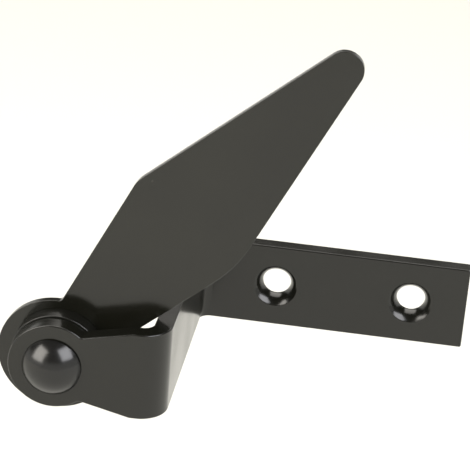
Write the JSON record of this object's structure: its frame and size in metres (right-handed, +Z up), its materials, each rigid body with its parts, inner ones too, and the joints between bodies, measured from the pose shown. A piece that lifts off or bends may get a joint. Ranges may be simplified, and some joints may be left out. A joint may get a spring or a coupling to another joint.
{
  "type": "gravity gate latch",
  "caption": "Z-bent flat bar bracket with countersunk screw holes and a kite-shaped lever plate that swings on a domed rivet and rests on the bracket's web by its own weight.",
  "frame": {"origin": "on the back of the strap, midway between its two screw holes and on the bar's centreline", "axes": "+X along the strap, away from the web; +Y out of the strap's back into the post it is screwed to; +Z up"},
  "size_m": [0.1258, 0.0781, 0.1101],
  "materials": {
    "coated_bar": "black powder coat, satin",
    "coated_plate": "black powder coat, satin",
    "coated_washers": "black powder coat, satin",
    "painted_rivet": "black enamel, glossy"
  },
  "bodies": {
    "bracket_body": {"bracket": "coated_bar", "spacer_washer": "coated_washers", "back_washer": "coated_washers", "pivot_rivet": "painted_rivet"},
    "lever_body": {"latch_lever": "coated_plate"}
  },
  "joints": [
    {"name": "lever_pivot", "type": "hinge", "parent": "bracket_body", "child": "lever_body", "pos_m": [-0.0723, -0.0617, 0], "axis": [0, -1, 0], "range_deg": [0, 256.4]}
  ]
}
